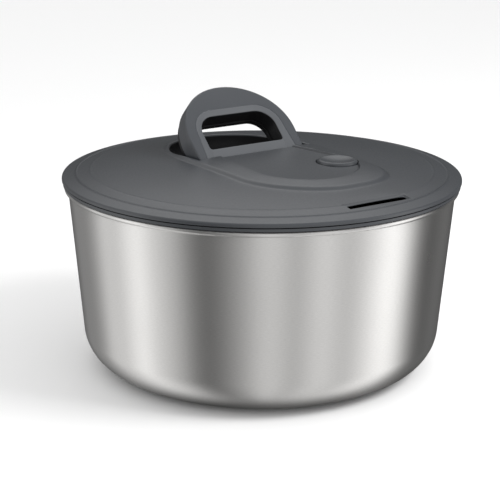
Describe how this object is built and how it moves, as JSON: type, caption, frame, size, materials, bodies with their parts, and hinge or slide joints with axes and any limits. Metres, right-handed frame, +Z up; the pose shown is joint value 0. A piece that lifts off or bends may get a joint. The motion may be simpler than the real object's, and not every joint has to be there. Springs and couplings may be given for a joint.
{
  "type": "salad spinner",
  "caption": "Lever-driven salad spinner: brushed steel bowl, domed grey lid with a folding wing lever, round brake button and pour slot, and a slotted basket inside.",
  "frame": {"origin": "centre of the base, on the table", "axes": "+Z up; +X from the lever towards the brake button and the pour slot; +Y along the lever's hinge axle"},
  "size_m": [0.265, 0.265, 0.1787],
  "materials": {
    "steel": "brushed satin",
    "lid_grey": "fine satin moulding",
    "black_plastic": "satin",
    "rubber": "matt",
    "basket_plastic": "frosted",
    "gear_plastic": "acetal, natural",
    "bush_brass": "turned",
    "metal": "bright steel"
  },
  "bodies": {
    "bowl_body": {"bowl": "steel", "base_ring": "rubber"},
    "foot": {"pivot_foot": "basket_plastic", "foot_pad": "rubber", "pivot_pin": "metal", "foot_clip": "metal"},
    "basket_body": {"basket": "basket_plastic"},
    "lid": {"lid_shell": "lid_grey", "lid_pan": "lid_grey", "lid_gasket": "rubber", "lid_screws": "metal", "lever_axle": "metal", "lever_spring": "metal", "spindle_bush": "bush_brass", "gear_pin": "metal", "gear_clip": "metal"},
    "lever": {"lever_cover": "lid_grey", "lever_underside": "black_plastic", "lever_screws": "metal", "sector_gear": "gear_plastic"},
    "rack": {"drive_rack": "gear_plastic"},
    "pinion": {"rack_pinion": "gear_plastic"},
    "clutch": {"clutch_gear": "gear_plastic", "clutch_pawls": "metal", "pawl_springs": "metal"},
    "drive": {"spindle": "gear_plastic", "drive_disc": "basket_plastic", "disc_screw": "metal"},
    "brake": {"brake_button": "lid_grey", "brake_pad": "rubber", "button_clip": "metal", "brake_spring": "metal"}
  },
  "joints": [
    {"name": "basket_lift", "type": "slide", "parent": "bowl_body", "child": "foot", "axis": [0, 0, 1], "range_m": [0, 0.18]},
    {"name": "basket_spin", "type": "hinge", "parent": "foot", "child": "basket_body", "pos_m": [0, 0, 0.015], "axis": [0, 0, 1], "continuous": true},
    {"name": "lid_lift", "type": "slide", "parent": "foot", "child": "lid", "axis": [0, 0, 1], "range_m": [0, 0.18]},
    {"name": "lever_pivot", "type": "hinge", "parent": "lid", "child": "lever", "pos_m": [-0.0165, 0, 0.136], "axis": [0, 1, 0], "range_deg": [-45, 0], "stiffness_Nm_per_rad": 0.25, "springref_deg": 68.75},
    {"name": "rack_slide", "type": "slide", "parent": "lid", "child": "rack", "axis": [1, 0, 0], "range_m": [0, 0.0119]},
    {"name": "pinion_spin", "type": "hinge", "parent": "lid", "child": "pinion", "pos_m": [0.03118, 0.018, 0.117], "axis": [0, 0, 1], "range_deg": [0, 136]},
    {"name": "clutch_spin", "type": "hinge", "parent": "lid", "child": "clutch", "pos_m": [0.03118, 0.018, 0.126], "axis": [0, 0, 1], "continuous": true},
    {"name": "drive_spin", "type": "hinge", "parent": "lid", "child": "drive", "pos_m": [0, 0, 0.115], "axis": [0, 0, 1], "continuous": true},
    {"name": "brake_press", "type": "slide", "parent": "lid", "child": "brake", "axis": [0, 0, -1], "range_m": [0, 0.003], "stiffness_N_per_m": 900, "springref_m": -0.003, "deforming": ["brake_spring"]}
  ],
  "couplings": [
    {"joint": "rack_slide", "follows": "lever_pivot", "m_per_rad": -0.015},
    {"joint": "pinion_spin", "follows": "lever_pivot", "ratio": -3},
    {"joint": "drive_spin", "follows": "basket_spin", "ratio": 1},
    {"joint": "clutch_spin", "follows": "basket_spin", "ratio": -0.2}
  ]
}
